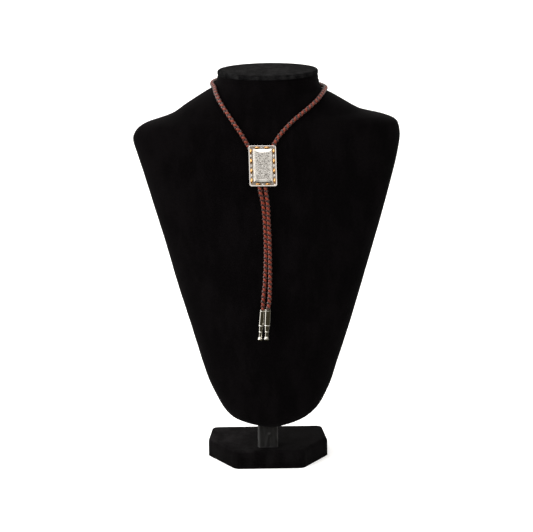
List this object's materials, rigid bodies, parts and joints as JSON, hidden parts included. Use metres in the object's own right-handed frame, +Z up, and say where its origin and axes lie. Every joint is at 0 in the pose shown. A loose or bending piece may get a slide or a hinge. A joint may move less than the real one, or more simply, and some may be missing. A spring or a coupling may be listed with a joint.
{
  "type": "bolo tie on neck bust display",
  "caption": "Bolo tie of braided leather cord with a rectangular silver and gold slide and metal tips, on a black velvet neck bust with a post and a low base board.",
  "frame": {"origin": "middle of the underside of the base board", "axes": "+Z up, front of the chest and the slide towards -Y, +X to the viewer's right"},
  "size_m": [0.2933, 0.1493, 0.44],
  "materials": {
    "black_velvet": "short-pile black velvet",
    "post_wrap": "creased black cloth, slight sheen",
    "braided_leather": "round-braided reddish brown leather, waxed",
    "silver": "polished silver, dark in the recesses",
    "engraved_silver": "fine engraved silver with a polished bevel",
    "gold": "polished gold-filled",
    "tip_metal": "polished silver-coloured metal"
  },
  "bodies": {
    "root": {"base_board": "black_velvet", "bust_body": "black_velvet", "neck_cap": "black_velvet", "post": "post_wrap", "bolo_cord": "braided_leather", "slide_plate": "silver", "slide_clip": "silver", "centre_panel": "engraved_silver", "gold_link_01": "gold", "gold_link_02": "gold", "gold_link_03": "gold", "gold_link_04": "gold", "gold_link_05": "gold", "gold_link_06": "gold", "gold_link_07": "gold", "gold_link_08": "gold", "gold_link_09": "gold", "gold_link_10": "gold", "gold_link_11": "gold", "gold_link_12": "gold", "tip_left": "tip_metal", "tip_right": "tip_metal"}
  },
  "joints": []
}
